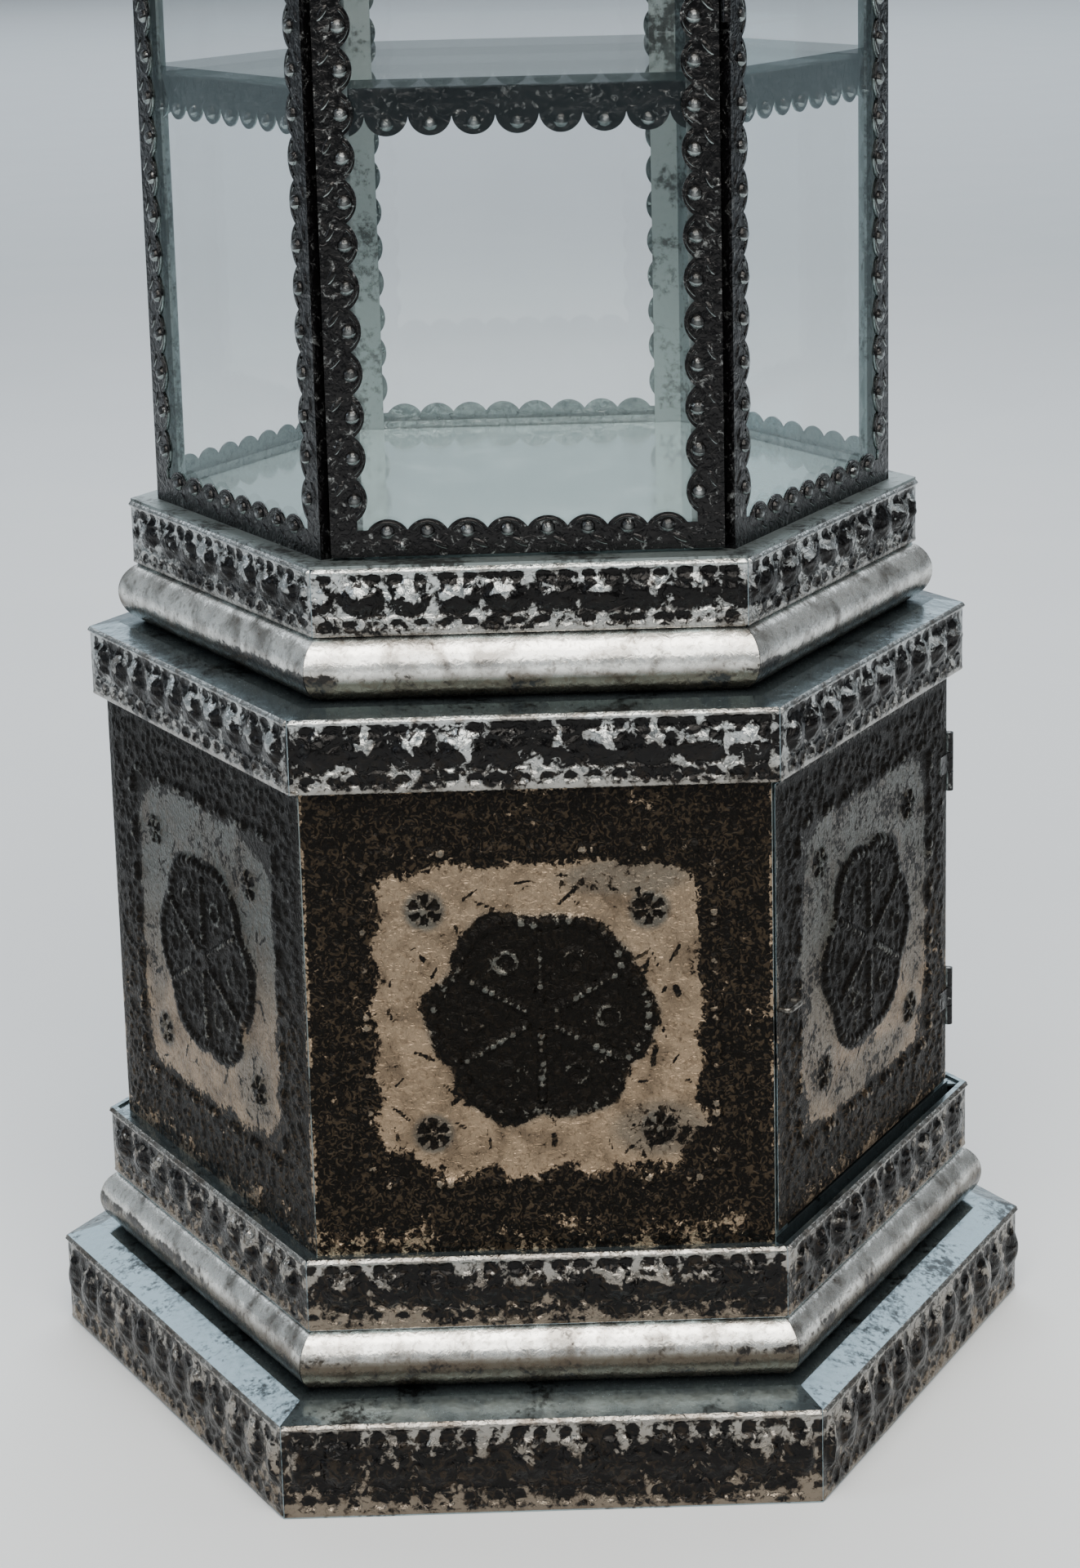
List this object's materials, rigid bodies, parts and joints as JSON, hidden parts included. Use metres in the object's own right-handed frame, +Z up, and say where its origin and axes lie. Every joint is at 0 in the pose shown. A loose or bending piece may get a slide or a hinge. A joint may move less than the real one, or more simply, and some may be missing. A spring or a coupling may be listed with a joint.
{
  "type": "display cabinet",
  "caption": "Hexagonal table-top display cabinet of embossed tinplate: a moulded drum base with a small door, and a glazed lantern with a mirror floor, glass shelves and a hinged door.",
  "frame": {"origin": "middle of the underside, on the surface that the cabinet stands on", "axes": "+Z up, -Y out of the front face with the glazed door, +X to the right seen from the front"},
  "size_m": [0.304, 0.2632, 0.8227],
  "materials": {
    "embossed_tin": "embossed, dark patina",
    "tin": "worn satin",
    "wire": "satin",
    "glass": "clear",
    "mirror": "polished"
  },
  "bodies": {
    "cabinet": {"ceiling_plate": "tin", "cornice_lower_band": "embossed_tin", "cornice_plate": "tin", "cornice_soffit": "tin", "cornice_torus": "tin", "cornice_upper_band": "embossed_tin", "crown_lower_band": "embossed_tin", "crown_plate": "tin", "crown_torus": "tin", "crown_upper_band": "embossed_tin", "deck_plate": "tin", "drum_door_sill": "tin", "drum_frame_tabs": "tin", "drum_hinge_pins": "wire", "drum_panel_back": "embossed_tin", "drum_panel_back_left": "embossed_tin", "drum_panel_back_right": "embossed_tin", "drum_panel_front": "embossed_tin", "drum_panel_front_left": "embossed_tin", "drum_posts": "tin", "eaves_plate": "tin", "finial": "tin", "foot_plate": "tin", "frame_back": "tin", "frame_back_left": "tin", "frame_back_right": "tin", "frame_front_left": "tin", "frame_front_right": "tin", "glass_back": "glass", "glass_back_left": "glass", "glass_back_right": "glass", "glass_front_left": "glass", "glass_front_right": "glass", "lantern_frame_tabs": "tin", "lantern_hinge_pins": "wire", "lantern_posts": "tin", "lower_shelf": "glass", "lower_valance": "tin", "mirror_floor": "mirror", "plinth_band": "embossed_tin", "plinth_deck": "tin", "plinth_ledge": "tin", "plinth_rim": "embossed_tin", "plinth_torus": "tin", "roof_cap": "tin", "roof_panels": "tin", "roof_ridges": "tin", "upper_shelf": "glass", "upper_valance": "tin"},
    "lantern_door": {"lantern_door_frame": "tin", "lantern_door_glass": "glass", "lantern_door_pull": "wire", "lantern_door_tabs": "tin"},
    "drum_door": {"drum_door_panel": "embossed_tin", "drum_door_pull": "wire", "drum_door_tabs": "tin"}
  },
  "joints": [
    {"name": "lantern_door_hinge", "type": "hinge", "parent": "cabinet", "child": "lantern_door", "pos_m": [0.056, -0.09699, 0.3], "axis": [0, 0, 1], "range_deg": [0, 110]},
    {"name": "drum_door_hinge", "type": "hinge", "parent": "cabinet", "child": "drum_door", "pos_m": [0.13, 0, 0.14], "axis": [0, 0, 1], "range_deg": [0, 110]}
  ]
}
